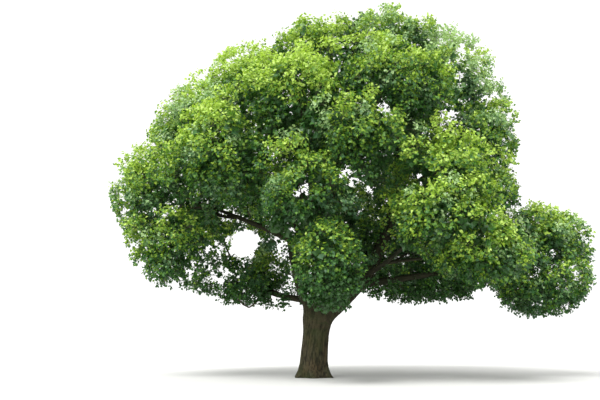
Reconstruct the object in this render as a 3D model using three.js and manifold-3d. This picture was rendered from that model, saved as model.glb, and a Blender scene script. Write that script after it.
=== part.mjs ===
// A large-leaved linden in full summer leaf, as an old garden tree.
// A short thick trunk with a root flare forks low into six limbs. They carry a broad, domed, lopsided crown
// of separate foliage masses, whose low right end reaches furthest and whose left end droops under an arch.
// Units are millimetres, +Z is up, and the origin is the middle of the trunk's flat cut at ground level.
// The tree is seen from -Y: +X is to the right in that view and +Y leads away.
import * as THREE from "three";
import { mergeVertices } from "three/addons/utils/BufferGeometryUtils.js";
import Module from "manifold-3d";

// Driving dimensions of the trunk.
const TRUNK = {
  height: 3000, // to the fork
  lean: [200, 0], // how far the fork stands from the point above the base, in x and y
  girthRadius: 570, // at breast height
  forkRadius: 610,
  rootRadius: 860, // where it meets the ground
  flareHeight: 520, // the height in which the root flare fades by a factor of e
  lobes: 6, // buttress roots round the foot
  lobeDepth: 0.13, // share of the radius by which a buttress stands out at the ground
  shoulder: 0.84, // the share of the height from which the top rounds off
  topShare: 0.8, // radius of the flat top, as a share of the fork's
  sides: 22,
  steps: 10,
};

// Driving dimensions of the limbs. A limb is as thick as the foliage it carries asks: cross sections add up.
const LIMB = {
  radiusPerReach: 0.043, // radius at the foot of a bough for each unit of its foliage mass's mean radius
  tipShare: 0.42, // radius at the tip, as a share of what the bough's own mass asks for at the foot
  forkShare: 0.78, // radius at the tip of a limb that only forks, as a share of its foot
  taper: 0.8, // 1 is a plain cone, and less keeps the girth further up
  mostOfParent: 0.86, // a limb is never thicker than this share of the limb it springs from
  lastGirth: 0.98, // that limb's girth is taken no further along it than at this share
  collar: 0.4, // how much thicker the limb is where it leaves its parent
  collarLength: 2.2, // the length in which that fades by a factor of e, in radii of the foot
  enters: 0.8, // a bough ends this far out in its mass, as a share of the mass's radii
  gap: 0.3, // clearance between neighbouring solids
  stout: { radius: 180, sides: 9, step: 1500 }, // faces and ring spacing, from this radius at the foot up
  slim: { sides: 5, step: 1500 }, // and below it
};

// Driving dimensions of the foliage. Shares are of a mass's radii or of their mean.
const FOLIAGE = {
  seed: 20260611,
  places: 61, // places round a mass that are tried for a leaf spray
  stride: 23, // they are tried in steps of this many, so all sides fill alike
  scatter: 0.4, // how much a place is turned round at random, in radians
  mostSprays: 7, // on one mass
  reach: [0.66, 0.82], // how far out the middles of the sprays stand
  spraySizes: [0.68, 0.59, 0.5, 0.42, 0.34], // from a spray's middle to its tips, large ones tried first
  lobes: 5, // the leafy tips round a spray
  notch: 0.72, // how far out the notches between the tips are, as a share of the tips
  ragged: 0.24, // how much the tips of a spray differ in length
  facingUp: 0.25, // how far a spray at the side of a mass turns up
  hang: 0.34, // how far a spray's tips hang below its middle, as a share of its radius
  thickness: 46, // of a spray in its middle
  stemReach: 0.3, // how far past the middle of a mass its stem ends
  stemRise: 0.35, // how strongly a stem turns up from its bough's direction
  stemTurn: 0.45, // how far along its chord a stem turns
  stemTip: 0.5, // radius of a stem at its end, as a share of its foot
  stemSides: 5,
  stemSteps: 4,
  rootShare: 0.2, // how far off a spray's middle its twig ends, as a share of the way to its rim
  twigBow: 0.1, // how far a twig's turning point is above its chord, as a share of its length
  twigTip: 13, // radius of a twig at its end
  twigTaper: 0.7, // radius of a twig at its foot, as a share of what it springs from
  stemShares: [0.15, 0.3, 0.4, 0.55, 0.65, 0.8, 0.9, 0.97], // where along a stem a twig can spring
  twigShares: [0.35, 0.6], // where along a twig another can spring
  twigTries: 6, // how many of the nearest points a twig may spring from
  longTwig: 3000, // a twig longer than this bends in the middle
  testShares: [0.3, 0.6, 0.9], // where along a twig it is tested to be in its mass's space
  cellGap: 0.025, // how clearly a point must be nearer to its own mass than to any other
  limbClearance: 40, // leaves and twigs keep this far from trunk and boughs
};

// The limb that forks before it reaches any foliage. The other limbs are the boughs of the masses below.
const FORKS = [
  { name: "left_limb", from: "trunk", at: 0.82, to: [-1050, 0, 6100], bend: [0.8, 0.35] },
];

// The foliage masses, each an ellipsoid space with a bough of its own. A row gives the mass's name, the
// middle and the radii of its space, the limb that its bough springs from and at which share of that limb's
// length, and how the bough gets there: the shares of the way out and of the way up at which it turns.
const MASSES = [
  ["top", [3800, 800, 15600], [3200, 3600, 2500], "trunk", 0.84, [1.25, 0.26]],
  ["top_left", [400, 500, 15000], [3000, 3500, 2500], "trunk", 0.9, [4, 0.5]],
  ["top_back", [1600, 4600, 13000], [3600, 3500, 3000], "bough_top_left", 0.6, [0.4, 0.5]],
  ["upper_right", [6450, 500, 13800], [3000, 3600, 2900], "bough_top", 0.7, [0.5, 0.4]],
  ["right_shoulder", [7600, 500, 11200], [2500, 3700, 2500], "bough_top", 0.58, [0.5, 0.4]],
  ["right_middle", [7200, -200, 8300], [2600, 3500, 2300], "bough_top", 0.46, [0.5, 0.5]],
  ["upper_left", [-2800, 500, 13200], [3100, 3700, 2800], "bough_top_left", 0.52, [0.4, 0.6]],
  ["left_shoulder", [-5100, 0, 11100], [2900, 3600, 2700], "left_limb", 1, [0.3, 0.5]],
  ["left_middle", [-7100, 200, 8500], [2700, 3500, 2500], "left_limb", 1, [0.45, 0.5]],
  ["left_low", [-6200, -200, 5950], [2500, 2900, 2500], "bough_left_middle", 0.62, [0.5, -0.3]],
  ["left_inner", [-3500, 3000, 4800], [3000, 2700, 1900], "bough_back_left_low", 0.45, [0.5, -1]],
  ["centre", [3400, 2600, 7000], [2600, 2600, 3000], "bough_back_middle", 0.6, [0.5, 0.4]],
  ["front_top", [-700, -3600, 11600], [2800, 3300, 2600], "trunk", 0.9, [0.12, 0.62]],
  ["front_high_right", [3300, -3500, 12100], [2900, 3300, 2600], "bough_front_top", 0.66, [0.5, 0.6]],
  ["front_right", [1700, -4700, 9400], [2500, 2800, 2100], "bough_front_top", 0.55, [0.5, 0.6]],
  ["front_left", [-3800, -3700, 9000], [2900, 3100, 2600], "bough_front_top", 0.4, [0.5, 0.5]],
  ["front_middle", [-600, -4500, 7300], [2300, 2700, 2000], "bough_front_top", 0.36, [0.5, 0.5]],
  ["front_low", [450, -5200, 4300], [1750, 2000, 2300], "trunk", 0.76, [0.4, 0.9]],
  ["cascade_top", [5100, -4200, 8300], [2300, 2700, 1800], "bough_top", 0.4, [0.4, 0.6]],
  ["cascade_middle", [4500, -5000, 6500], [2300, 2500, 1800], "bough_top", 0.24, [0.5, 0.2]],
  ["cascade_low", [6600, -4100, 5000], [2400, 2700, 1800], "bough_cascade_middle", 0.45, [0.5, 0.6]],
  ["far_right_upper", [10500, 800, 6100], [2900, 3400, 2000], "bough_top", 0.2, [0.5, 0.2]],
  ["far_right_low", [10500, 800, 4100], [2600, 3100, 1900], "bough_far_right_upper", 0.66, [0.5, 0.6]],
  ["right_under", [5500, 2800, 4600], [3300, 2700, 1400], "bough_far_right_upper", 0.22, [0.5, 0.6]],
  ["back_right_upper", [5600, 4800, 10800], [3500, 3500, 3200], "bough_top", 0.5, [0.5, 0.5]],
  ["back_left_upper", [-3200, 4500, 10600], [3600, 3600, 3200], "bough_top_left", 0.42, [0.5, 0.5]],
  ["back_right_low", [6300, 5300, 6800], [3600, 3600, 2900], "bough_back_middle", 0.35, [0.5, 0.4]],
  ["back_middle", [1200, 6700, 8400], [3600, 3200, 3400], "trunk", 0.86, [0.45, 0.4]],
  ["back_left_low", [-4700, 5000, 7300], [3600, 3500, 2800], "bough_back_middle", 0.2, [0.75, 0.2]],
].map(([name, middle, radii, from, at, bend]) => ({ name, middle, radii, from, at, bend }));

const BARK = new THREE.MeshStandardMaterial({ name: "bark", color: 0x5a5140, roughness: 0.95 });
const LEAVES = new THREE.MeshStandardMaterial({ name: "leaves", color: 0x5f8a2c, roughness: 0.6 });

const GOLDEN_ANGLE = Math.PI * (3 - Math.sqrt(5));
const SEEDS = 1e6; // how many seeds a spray's own random numbers may start from
const SAME_POINT = 1e-3; // points nearer to each other than this are one
const UP = new THREE.Vector3(0, 0, 1);

const wasm = await Module();
wasm.setup();

// Random numbers from 0 to 1, the same ones each run.
function seededRandom(seed) {
  let state = seed % 4294967296;
  return () => {
    state = (state * 1664525 + 1013904223) % 4294967296;
    return state / 4294967296;
  };
}

function vector([x, y, z]) {
  return new THREE.Vector3(x, y, z);
}

function toSolid(geometry) {
  const bare = geometry.clone();
  bare.deleteAttribute("normal");
  bare.deleteAttribute("uv");
  const merged = mergeVertices(bare, SAME_POINT);
  return new wasm.Manifold(
    new wasm.Mesh({
      numProp: 3,
      vertProperties: Float32Array.from(merged.attributes.position.array),
      triVerts: Uint32Array.from(merged.index.array),
    }),
  );
}

function toGeometry(solid) {
  const mesh = solid.getMesh();
  const geometry = new THREE.BufferGeometry();
  geometry.setAttribute("position", new THREE.BufferAttribute(mesh.vertProperties, 3));
  geometry.setIndex(new THREE.BufferAttribute(mesh.triVerts, 1));
  const flat = geometry.toNonIndexed();
  flat.computeVertexNormals();
  return flat;
}

function largestBody(solid) {
  return solid.decompose().reduce((most, body) => (body.volume() > most.volume() ? body : most));
}

// A cylinder whose rings are moved onto a curve, and its ends further out by longer. radiusAt gives the
// radius for a share of the length and an angle.
function bentCylinder(curve, radiusAt, sides, steps, longer = 0) {
  const geometry = new THREE.CylinderGeometry(1, 1, 1, sides, steps);
  const frames = curve.computeFrenetFrames(steps, false);
  const position = geometry.attributes.position;
  for (let i = 0; i < position.count; i++) {
    const across = new THREE.Vector2(position.getX(i), position.getZ(i));
    const step = Math.round((position.getY(i) + 0.5) * steps);
    const radius = radiusAt(step / steps, across.angle()) * Math.min(1, across.length());
    const atEnd = Number(step === steps) - Number(step === 0);
    const place = curve
      .getPointAt(step / steps)
      .addScaledVector(frames.tangents[step], atEnd * longer)
      .addScaledVector(frames.normals[step], radius * Math.cos(across.angle()))
      .addScaledVector(frames.binormals[step], -radius * Math.sin(across.angle()));
    position.setXYZ(i, place.x, place.y, place.z);
  }
  return geometry;
}

// The point at a share of a limb's length, on the straight stretch between two rings of its solid.
function axisPoint({ curve, steps }, share) {
  const ring = Math.min(Math.floor(share * steps), steps - 1);
  return curve.getPointAt(ring / steps).lerp(curve.getPointAt((ring + 1) / steps), share * steps - ring);
}

// The trunk's centreline, and its radius at a share of its height and an angle, from root flare to shoulder.
function makeTrunk() {
  const foot = new THREE.Vector3(0, 0, 0);
  const fork = new THREE.Vector3(...TRUNK.lean, TRUNK.height);
  const curve = new THREE.QuadraticBezierCurve3(foot, new THREE.Vector3(0, 0, TRUNK.height / 2), fork);
  const radiusAt = (share, angle, grown = 0) => {
    const flare = Math.exp((-share * TRUNK.height) / TRUNK.flareHeight);
    const shaft = THREE.MathUtils.lerp(TRUNK.girthRadius, TRUNK.forkRadius, share ** 2);
    const lobe = 1 + TRUNK.lobeDepth * flare * Math.cos(TRUNK.lobes * angle);
    const over = Math.max(0, (share - TRUNK.shoulder) / (1 - TRUNK.shoulder));
    const rounded = 1 - (1 - TRUNK.topShare) * over ** 2;
    return (shaft + (TRUNK.rootRadius - TRUNK.girthRadius) * flare) * lobe * rounded + grown;
  };
  return { name: "trunk", curve, radiusAt, sides: TRUNK.sides, steps: TRUNK.steps };
}

// The radius that a limb needs at its foot, for its own mass and for all that springs from it.
function neededRadius(name) {
  const own = MASSES.find((mass) => "bough_" + mass.name === name);
  const reach = own ? meanRadius(own) : 0;
  const springing = [
    ...FORKS.filter((fork) => fork.from === name).map((fork) => fork.name),
    ...MASSES.filter((mass) => mass.from === name).map((mass) => "bough_" + mass.name),
  ];
  return Math.hypot(LIMB.radiusPerReach * reach, ...springing.map(neededRadius));
}

// The curve of a limb from a point to its tip, turning at the given shares of the way out and of the way up.
function limbCurve(start, end, [out, rise]) {
  const turn = new THREE.Vector3(
    THREE.MathUtils.lerp(start.x, end.x, out),
    THREE.MathUtils.lerp(start.y, end.y, out),
    THREE.MathUtils.lerp(start.z, end.z, rise),
  );
  return new THREE.QuadraticBezierCurve3(start, turn, end);
}

// The point where a bough that comes from a place enters its mass's space.
function entryPoint(mass, from) {
  const radii = vector(mass.radii);
  const inward = from.clone().sub(vector(mass.middle)).divide(radii).normalize();
  return vector(mass.middle).add(inward.multiply(radii).multiplyScalar(LIMB.enters));
}

function makeLimb(plan, limbs) {
  const parent = limbs.get(plan.from);
  const start = axisPoint(parent, plan.at);
  const towards = plan.mass ? vector(plan.mass.middle) : vector(plan.to);
  const turn = limbCurve(start, towards, plan.bend).v1;
  const tip = plan.mass ? entryPoint(plan.mass, turn) : towards;
  const curve = limbCurve(start, tip, plan.bend);
  const most = LIMB.mostOfParent * parent.radiusAt(Math.min(plan.at, LIMB.lastGirth), 0);
  const foot = Math.min(neededRadius(plan.name), most);
  const massTip = (mass) => LIMB.radiusPerReach * LIMB.tipShare * meanRadius(mass);
  const tipRadius = plan.mass ? massTip(plan.mass) : LIMB.forkShare * foot;
  const length = curve.getLength();
  const radiusAt = (share, angle, grown = 0) => {
    const cone = THREE.MathUtils.lerp(tipRadius, foot, (1 - share) ** LIMB.taper);
    return cone * (1 + LIMB.collar * Math.exp((-share * length) / (LIMB.collarLength * foot))) + grown;
  };
  const { sides, step } = foot > LIMB.stout.radius ? LIMB.stout : LIMB.slim;
  return { name: plan.name, curve, radiusAt, sides, steps: Math.max(3, Math.round(length / step)) };
}

function limbSolid(limb, grown) {
  const radiusAt = (share, angle) => limb.radiusAt(share, angle, grown);
  return toSolid(bentCylinder(limb.curve, radiusAt, limb.sides, limb.steps, grown));
}

// How far a point is out in a mass's space: 0 in its middle and 1 on its surface.
function depthIn(mass, point) {
  return point.clone().sub(vector(mass.middle)).divide(vector(mass.radii)).length();
}

// True if a point is in a mass's own space: in its ellipsoid, and clearly further out in every other mass.
function inOwnSpace(mass, point) {
  const depth = depthIn(mass, point);
  if (depth > 1) return false;
  return MASSES.every((other) => other === mass || depthIn(other, point) > depth + FOLIAGE.cellGap);
}

// A leaf spray: a thin drooping rosette with a tip for each of its leafy lobes, facing along its normal.
// Its root, where the twig ends, is inside it and a little off its middle.
function makeSpray(middle, facing, radius, random) {
  const turned = new THREE.Quaternion().setFromUnitVectors(UP, facing);
  const spin = random() * 2 * Math.PI;
  const corners = 2 * FOLIAGE.lobes;
  const rim = Array.from({ length: corners }, (_, corner) => {
    const out = (corner % 2 ? FOLIAGE.notch : 1) * (1 - FOLIAGE.ragged * random());
    const angle = spin + (corner * 2 * Math.PI) / corners;
    return new THREE.Vector3(out * Math.cos(angle), -out * Math.sin(angle), -FOLIAGE.hang * out ** 2);
  });
  const toWorld = (point) => point.multiplyScalar(radius).applyQuaternion(turned).add(middle);
  const geometry = new THREE.SphereGeometry(1, corners, 2);
  const position = geometry.attributes.position;
  for (let i = 0; i < position.count; i++) {
    const angle = Math.atan2(position.getZ(i), position.getX(i));
    const turn = Math.round((angle * corners) / (2 * Math.PI));
    const onRim = Math.abs(position.getY(i)) < 0.5;
    const pole = new THREE.Vector3(0, 0, (position.getY(i) * FOLIAGE.thickness) / (2 * radius));
    const place = toWorld(onRim ? rim[(turn + corners) % corners].clone() : pole);
    position.setXYZ(i, place.x, place.y, place.z);
  }
  const root = toWorld(rim[0].clone().add(rim[1]).multiplyScalar(FOLIAGE.rootShare / 2));
  return { solid: toSolid(geometry), points: pointsOf(position), root };
}

function pointsOf(position) {
  const at = (_, i) => new THREE.Vector3().fromBufferAttribute(position, i);
  return Array.from({ length: position.count }, at);
}

// The stem of a mass, which goes on from its bough's tip and curves up through the middle of the space.
function stemOf(mass, bough) {
  const way = bough.curve.getTangentAt(1);
  const start = bough.curve.getPointAt(1).addScaledVector(way, LIMB.gap);
  const past = way.clone().addScaledVector(UP, FOLIAGE.stemRise).normalize().multiply(vector(mass.radii));
  const end = vector(mass.middle).addScaledVector(past, FOLIAGE.stemReach);
  const turn = start.clone().addScaledVector(way, FOLIAGE.stemTurn * start.distanceTo(end));
  const curve = new THREE.QuadraticBezierCurve3(start, turn, end);
  const radiusAt = (share) => bough.radiusAt(1, 0) * THREE.MathUtils.lerp(1, FOLIAGE.stemTip, share);
  const solid = toSolid(bentCylinder(curve, radiusAt, FOLIAGE.stemSides, FOLIAGE.stemSteps));
  return { curve, radiusAt, steps: FOLIAGE.stemSteps, freeShares: [...FOLIAGE.stemShares], solid };
}

// Places for a mass's sprays and the ways they face: points spread evenly by the golden angle, with a little
// seeded scatter, kept where they are in the mass's own space. Sprays lie like tiles on the mass, and those
// below turn level, so the mass looks like one billow with a flatter underside.
function sprayPlaces(mass, random) {
  const places = [];
  for (let i = 0; i < FOLIAGE.places; i++) {
    const turn = (i * FOLIAGE.stride) % FOLIAGE.places;
    const height = 1 - (2 * turn + 1) / FOLIAGE.places;
    const round = Math.sqrt(1 - height * height);
    const angle = turn * GOLDEN_ANGLE + (random() - 0.5) * FOLIAGE.scatter;
    const reach = THREE.MathUtils.lerp(...FOLIAGE.reach, random());
    const outward = new THREE.Vector3(round * Math.cos(angle), round * Math.sin(angle), height);
    const offset = outward.clone().multiply(vector(mass.radii)).multiplyScalar(reach);
    const middle = vector(mass.middle).add(offset);
    const facing = outward.setZ(Math.max(height, 0) + FOLIAGE.facingUp * (1 + Math.min(height, 0)));
    const seed = Math.round(SEEDS * random());
    if (inOwnSpace(mass, middle)) places.push({ middle, facing: facing.normalize(), seed });
  }
  return places;
}

function meanRadius(mass) {
  return (mass.radii[0] + mass.radii[1] + mass.radii[2]) / 3;
}

// Twigs that could lead to a place, from the nearest free points of what has grown, rising on the way.
function twigsTo(place, grown) {
  const starts = grown.flatMap((parent) => {
    return parent.freeShares.map((share) => ({ parent, share, point: axisPoint(parent, share) }));
  });
  starts.sort((one, other) => one.point.distanceTo(place) - other.point.distanceTo(place));
  return starts.slice(0, FOLIAGE.twigTries).map((start) => {
    const rise = FOLIAGE.twigBow * start.point.distanceTo(place);
    const turn = start.point.clone().lerp(place, 0.5).addScaledVector(UP, rise);
    const curve = new THREE.QuadraticBezierCurve3(start.point, turn, place);
    const steps = curve.getLength() > FOLIAGE.longTwig ? 2 : 1;
    const foot = Math.max(FOLIAGE.twigTip, FOLIAGE.twigTaper * start.parent.radiusAt(start.share));
    const radiusAt = (share) => THREE.MathUtils.lerp(foot, FOLIAGE.twigTip, share);
    const solid = toSolid(bentCylinder(curve, radiusAt, 3, steps));
    return { curve, radiusAt, steps, freeShares: [...FOLIAGE.twigShares], solid, start };
  });
}

// A spray of one size at a place, and the twig that carries it, where both fit the mass and clear the rest.
function sprayThatFits({ middle, facing, seed }, size, mass, grown, sprays, limbsNear) {
  const spray = makeSpray(middle, facing, size * meanRadius(mass), seededRandom(seed));
  if (!spray.points.every((point) => inOwnSpace(mass, point))) return null;
  if (touches(spray.solid, [limbsNear, ...sprays, ...grown.map((twig) => twig.solid)])) return null;
  const twig = twigsTo(spray.root, grown).find(({ curve, solid }) => {
    const inside = FOLIAGE.testShares.every((share) => inOwnSpace(mass, curve.getPointAt(share)));
    return inside && !touches(solid, [limbsNear, ...sprays]);
  });
  return twig ? { spray, twig } : null;
}

// A foliage mass: its stem with the twigs and sprays that fit, large sprays first, fused into one solid.
function massSolid(mass, bough, limbsNear, seed) {
  const places = new Set(sprayPlaces(mass, seededRandom(seed)));
  const grown = [stemOf(mass, bough)];
  const sprays = [];
  for (const size of FOLIAGE.spraySizes) {
    for (const place of places) {
      if (sprays.length === FOLIAGE.mostSprays) break;
      const found = sprayThatFits(place, size, mass, grown, sprays, limbsNear);
      if (!found) continue;
      sprays.push(found.spray.solid);
      grown.push(found.twig);
      const { parent, share } = found.twig.start;
      parent.freeShares = parent.freeShares.filter((free) => free !== share);
      places.delete(place);
    }
  }
  return largestBody(wasm.Manifold.union([...grown.map((twig) => twig.solid), ...sprays]));
}

function touches(solid, others) {
  return others.some((other) => !solid.intersect(other).isEmpty());
}

function namedMesh(name, solid, material) {
  const mesh = new THREE.Mesh(toGeometry(solid), material);
  mesh.name = name;
  return mesh;
}

function makeTree() {
  const tree = new THREE.Group();
  const trunk = makeTrunk();
  const limbs = new Map([["trunk", trunk]]);
  const plans = [...FORKS, ...MASSES.map((mass) => ({ ...mass, name: "bough_" + mass.name, mass }))];
  const waiting = new Set(plans);
  while (waiting.size) {
    const plan = [...waiting].find((candidate) => limbs.has(candidate.from));
    limbs.set(plan.name, makeLimb(plan, limbs));
    waiting.delete(plan);
  }

  // Each limb is cut clear of all that were made before it, so its foot fits its parent.
  let grownSoFar = limbSolid(trunk, LIMB.gap);
  let clearance = limbSolid(trunk, FOLIAGE.limbClearance);
  tree.add(namedMesh("trunk", limbSolid(trunk, 0), BARK));
  for (const [name, limb] of limbs) {
    if (name === "trunk") continue;
    tree.add(namedMesh(name, largestBody(limbSolid(limb, 0).subtract(grownSoFar)), BARK));
    grownSoFar = grownSoFar.add(limbSolid(limb, LIMB.gap));
    clearance = clearance.add(limbSolid(limb, FOLIAGE.limbClearance));
  }

  MASSES.forEach((mass, i) => {
    const solid = massSolid(mass, limbs.get("bough_" + mass.name), clearance, FOLIAGE.seed + i);
    tree.add(namedMesh("foliage_" + mass.name, solid, LEAVES));
  });
  return tree;
}

export default makeTree();
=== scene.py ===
# A large-leaved linden in full summer leaf: bark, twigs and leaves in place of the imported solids.
# Units are metres in the solids' own frame: +Z is up, the tree is seen from -Y and +X is to the right.
# The limbs and the foliage grow by the rule of the part's source, carried on here to finer twigs and leaves.
import math

import bmesh
import bpy
import numpy as np
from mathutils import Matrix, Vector, noise


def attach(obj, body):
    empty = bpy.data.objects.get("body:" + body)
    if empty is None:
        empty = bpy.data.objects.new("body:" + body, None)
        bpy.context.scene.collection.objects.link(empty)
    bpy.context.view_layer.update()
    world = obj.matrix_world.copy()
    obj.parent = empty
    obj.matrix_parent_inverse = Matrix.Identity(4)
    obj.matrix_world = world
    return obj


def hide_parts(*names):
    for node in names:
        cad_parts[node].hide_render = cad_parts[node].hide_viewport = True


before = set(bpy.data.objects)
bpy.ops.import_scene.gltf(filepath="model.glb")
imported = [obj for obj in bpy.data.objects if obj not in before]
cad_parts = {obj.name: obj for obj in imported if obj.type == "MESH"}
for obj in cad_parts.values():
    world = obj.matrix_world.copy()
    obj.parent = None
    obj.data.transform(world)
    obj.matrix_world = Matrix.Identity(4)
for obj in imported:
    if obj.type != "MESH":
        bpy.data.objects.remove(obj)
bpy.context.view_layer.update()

# The photograph's camera. Pixels, here and below, are places in its frame of 600 by 400.
PHOTO = {
    "width": 600,
    "height": 400,
    "focal": 650,  # focal length in pixels
    "horizon": 340,  # the row of the horizon
    "eye": 1.6,  # height of the camera above the ground
    "distance": 29.5,  # from the camera to the trunk
    "aside": -0.614,  # how far the camera stands to the right of the trunk
    "sensor": 36,  # width of the sensor in millimetres
    "furthest": 2000,  # how far the camera sees
}
PITCH = math.atan((PHOTO["horizon"] - PHOTO["height"] / 2) / PHOTO["focal"])

# Where the photograph shows sky through the crown: the middle and half sizes of each opening in pixels, and
# the share of the shoots there that is left out.
OPENINGS = [
    ((245, 242), (17, 15), 1.0),
    ((216, 262), (38, 28), 0.48),
    ((226, 216), (12, 8), 0.75),
    ((303, 190), (9, 11), 0.85),
    ((383, 108), (9, 9), 0.8),
    ((370, 189), (6, 5), 0.9),
    ((425, 176), (11, 9), 0.6),
    ((390, 278), (7, 4), 0.8),
    ((468, 66), (26, 24), 0.28),
    ((450, 121), (18, 7), 0.42),
    ((349, 176), (14, 14), 0.4),
    ((404, 182), (10, 8), 0.5),
]
OPENING_EDGE = 2.5  # how steeply that share rises from an opening's edge to its middle

# Driving dimensions of the trunk and limbs, as in the part's source.
TRUNK = {
    "height": 3.0,
    "lean": 0.2,
    "girth_radius": 0.57,
    "fork_radius": 0.61,
    "root_radius": 0.86,
    "flare_height": 0.52,
    "lobes": 6,
    "lobe_depth": 0.13,
    "shoulder": 0.84,
    "top_share": 0.8,
    "steps": 10,
}
LIMB = {
    "radius_per_reach": 0.043,
    "tip_share": 0.42,
    "fork_share": 0.78,
    "taper": 0.8,
    "most_of_parent": 0.86,
    "last_girth": 0.98,
    "collar": 0.4,
    "collar_length": 2.2,
    "enters": 0.8,
    "stout_radius": 0.18,
    "stout_step": 1.5,
    "slim_step": 1.5,
}

# Driving dimensions of the foliage. Those before the blank line are the ones of the part's source.
FOLIAGE = {
    "seed": 20260611,
    "scatter": 0.4,
    "hang": 0.34,
    "stem_reach": 0.3,
    "stem_rise": 0.35,
    "stem_turn": 0.45,
    "stem_tip": 0.5,
    "twig_bow": 0.1,
    "twig_taper": 0.7,

    "facing_up": 0.45,  # how far a spray at the side of a mass turns up
    "twig_tip": 0.006,  # radius of a twig at its end
    "stem_shares": np.linspace(0.12, 0.98, 14),  # where along a stem a twig can spring
    "twig_shares": (0.3, 0.5, 0.7),  # where along a twig another can spring
    "stem_faces": (7, 7),  # sides and rings of a stem
    "twig_faces": (3, 3),  # sides and rings of a twig
    "merging": 3.1,  # how softly neighbouring masses merge: less fills the valleys between them more
    "billows": ((1.6, 0.27), (0.7, 0.12)),  # sizes of the swellings on a mass, and how far they go
    "tried": np.linspace(0.2, 1.5, 66),  # how far out a spray's place is looked for, in shares of the radii
    "billow_at": 40,  # the swelling there is taken at the place of this number
    "covered": (1.2, 0.76),  # a spray is covered if, this much further out, the crown's depth is below this
    "leafy_limb": (0.12, 1.0),  # from where to where a limb has sprays of its own
    "limb_sprays": 3.1,  # on each metre there
    "limb_twig": 0.5,  # how far they stand off the limb
    "furthest": 0.8,  # how far out in the crown a shoot may end
    "sprouts": (4.0, 1.3),  # this near the fork a limb's own shoots may end further out, and how far
}

# How shoots stand in a spray. Lengths are shares of the spray's radius, but for the last.
SHOOTS = {
    "fewest": 3,
    "inmost": 0.6,  # how far the first stands from the middle, as the others are 1 apart
    "scatter": 0.5,  # how far a shoot is turned round the spray at random, in radians
    "dome": 0.7,  # how far the spray stands out in its middle
    "jitter": 0.16,  # how far a tip is moved at random
    "tuft": 0.3,  # how far in a tip may end
    "behind": 0.3,  # how far behind the spray's middle its shoots meet
    "feet": 0.3,  # how far along its way a shoot may start
    "facing": 0.2,  # how strongly a shoot faces as its spray does
    "radius": 0.005,  # of a shoot at its foot, in metres
}

# How leaves stand on a shoot. Pairs are the least of a value, and how much more it is at random.
LEAVES = {
    "count": 7,
    "spacing": 0.05,
    "uneven": (0.8, 0.4),  # what a distance is of the spacing
    "furthest_back": 0.95,  # as a share of the shoot
    "petiole": 0.035,  # from a shoot to the foot of its leaf
    "turn": (0.6, 0.7),  # the angle between shoot and leaf, in radians
    "droop": (0.1, 0.5),
    "facing_up": 0.3,
    "flutter": 1.3,  # how far a leaf's facing differs from its shoot's at random
}

# The kinds of sprays: how many for each square metre of a mass's surface, how far out they stand and their
# radius, the shoots for each square metre of a spray, the length of a leaf, how much painted shade darkens
# it deep in the crown, and whether its leaves have their whole outline. Outer sprays that the crown covers
# are of the second kind, and those along a limb are of the third.
SPRAYS = {
    "outer": {
        "count": 2.0, "reach": (0.46, 0.68), "radius": (0.36, 0.58), "shoots": 12,
        "leaf": (0.092, 0.138), "shade": 0, "whole": True,
    },
    "covered": {"shoots": 6, "leaf": (0.13, 0.18), "shade": 0.22, "whole": False},
    "limb": {"radius": (0.35, 0.6), "shoots": 8, "leaf": (0.12, 0.17), "shade": 0.42, "whole": False},
    "inner": {
        "count": 0.4, "reach": (0.28, 0.45), "radius": (0.45, 0.7), "shoots": 4,
        "leaf": (0.2, 0.28), "shade": 0.5, "whole": False,
    },
}

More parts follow.
